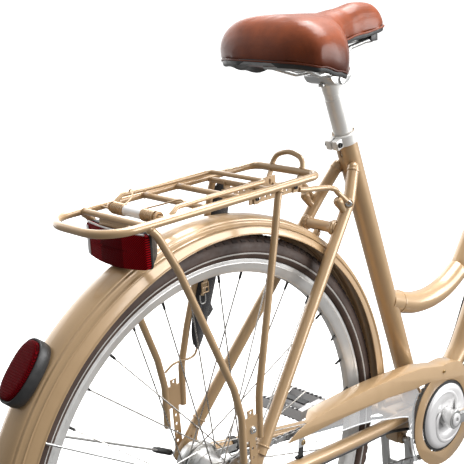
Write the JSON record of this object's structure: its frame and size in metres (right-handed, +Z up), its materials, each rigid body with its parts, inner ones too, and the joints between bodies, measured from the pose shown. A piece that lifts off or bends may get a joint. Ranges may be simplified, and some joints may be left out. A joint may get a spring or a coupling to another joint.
{
  "type": "city bicycle",
  "caption": "Step-through city bicycle with swan-neck frame, tubular rear carrier, chain guard, mudguards and twin-leg stand.",
  "frame": {"origin": "on the ground, midway between the rearmost and foremost points, in the middle plane", "axes": "+X forward, +Y to the rider's left, +Z up"},
  "size_m": [1.841, 0.673, 1.082],
  "materials": {
    "tan_paint": "satin metallic",
    "polished_metal": "polished",
    "rim_metal": "satin",
    "tyre_rubber": "matte",
    "black_plastic": "satin",
    "grip_rubber": "matte",
    "brown_leather": "satin",
    "red_lens": "gloss",
    "clear_lens": "gloss",
    "black_fabric": "matte",
    "chain_steel": "satin"
  },
  "bodies": {
    "frame": {"bottom_bracket": "polished_metal", "chain": "chain_steel", "chain_guard": "tan_paint", "chain_guard_window": "clear_lens", "fender_reflector_base": "black_plastic", "fender_reflector_lens": "red_lens", "headset_lower": "polished_metal", "headset_upper": "polished_metal", "main_frame": "tan_paint", "pouch": "black_fabric", "rack_frame": "tan_paint", "rack_strut_left": "tan_paint", "rack_strut_right": "tan_paint", "rear_axle": "polished_metal", "rear_brake": "polished_metal", "rear_brake_cable": "black_plastic", "rear_fender": "tan_paint", "rear_fender_stay": "polished_metal", "seat_clamp": "polished_metal", "shift_cable": "black_plastic", "tail_light_housing": "black_plastic", "tail_light_lens": "red_lens"},
    "steering": {"fork": "tan_paint", "stem": "polished_metal", "handlebar": "polished_metal", "grip_left": "grip_rubber", "grip_right": "grip_rubber", "lever_clamp_left": "polished_metal", "lever_clamp_right": "polished_metal", "headlight": "black_plastic", "headlight_lens": "clear_lens", "front_fender": "tan_paint", "front_axle": "polished_metal", "front_brake": "polished_metal", "front_brake_cable": "black_plastic"},
    "front_wheel": {"front_tyre": "tyre_rubber", "front_rim": "rim_metal", "front_hub": "polished_metal"},
    "rear_wheel": {"rear_tyre": "tyre_rubber", "rear_rim": "rim_metal", "rear_hub": "polished_metal"},
    "sprocket": {"rear_sprocket": "chain_steel"},
    "crankset": {"chainring": "chain_steel", "chainring_cover": "polished_metal", "crank_right": "polished_metal", "crank_left": "polished_metal"},
    "left_pedal": {"pedal_left": "black_plastic"},
    "right_pedal": {"pedal_right": "black_plastic"},
    "seat": {"seatpost": "polished_metal", "saddle_cover": "brown_leather", "saddle_base": "black_plastic", "saddle_rails": "polished_metal"},
    "left_lever": {"brake_lever_left": "polished_metal"},
    "right_lever": {"brake_lever_right": "polished_metal"},
    "shifter": {"shift_grip": "black_plastic"},
    "flap": {"spring_clamp": "tan_paint", "clamp_spring_left": "tan_paint", "clamp_spring_right": "tan_paint", "clamp_sleeve": "clear_lens"},
    "stand": {"stand_legs": "black_plastic"}
  },
  "joints": [
    {"name": "rear_wheel_spin", "type": "hinge", "parent": "frame", "child": "rear_wheel", "pos_m": [-0.5425, 0, 0.351], "axis": [0, 1, 0], "continuous": true},
    {"name": "sprocket_spin", "type": "hinge", "parent": "frame", "child": "sprocket", "pos_m": [-0.5425, -0.045, 0.351], "axis": [0, 1, 0], "continuous": true},
    {"name": "crank_spin", "type": "hinge", "parent": "frame", "child": "crankset", "pos_m": [-0.0585, 0, 0.272], "axis": [0, 1, 0], "continuous": true},
    {"name": "left_pedal_spin", "type": "hinge", "parent": "crankset", "child": "left_pedal", "pos_m": [-0.22641, 0.14, 0.29859], "axis": [0, 1, 0], "continuous": true},
    {"name": "right_pedal_spin", "type": "hinge", "parent": "crankset", "child": "right_pedal", "pos_m": [0.10941, -0.14, 0.24541], "axis": [0, 1, 0], "continuous": true},
    {"name": "steer", "type": "hinge", "parent": "frame", "child": "steering", "pos_m": [0.51782, 0, 0.33219], "axis": [-0.342, 0, 0.9397], "range_deg": [-70, 70], "deforming": ["rear_brake_cable", "shift_cable"]},
    {"name": "front_wheel_spin", "type": "hinge", "parent": "steering", "child": "front_wheel", "pos_m": [0.5695, 0, 0.351], "axis": [0, 1, 0], "continuous": true},
    {"name": "saddle_height", "type": "slide", "parent": "frame", "child": "seat", "axis": [-0.3206, 0, 0.9472], "range_m": [-0.08, 0.04]},
    {"name": "stand_fold", "type": "hinge", "parent": "frame", "child": "stand", "pos_m": [-0.1125, 0, 0.233], "axis": [0, 1, 0], "range_deg": [0, 75]},
    {"name": "flap_open", "type": "hinge", "parent": "frame", "child": "flap", "pos_m": [-0.6505, 0, 0.7674], "axis": [0, -1, 0], "range_deg": [0, 75], "stiffness_Nm_per_rad": 0.6},
    {"name": "left_lever_pull", "type": "hinge", "parent": "steering", "child": "left_lever", "pos_m": [0.29092, 0.29249, 1.05085], "axis": [0.055, 0.4088, 0.911], "range_deg": [0, 10], "stiffness_Nm_per_rad": 0.6},
    {"name": "right_lever_pull", "type": "hinge", "parent": "steering", "child": "right_lever", "pos_m": [0.29092, -0.29249, 1.05085], "axis": [-0.055, 0.4088, -0.911], "range_deg": [0, 10], "stiffness_Nm_per_rad": 0.6},
    {"name": "gear_twist", "type": "hinge", "parent": "steering", "child": "shifter", "pos_m": [0.24824, -0.27117, 1.06299], "axis": [-0.9691, -0.2416, -0.0499], "range_deg": [-60, 60]}
  ],
  "couplings": [
    {"joint": "sprocket_spin", "follows": "crank_spin", "ratio": 2}
  ]
}
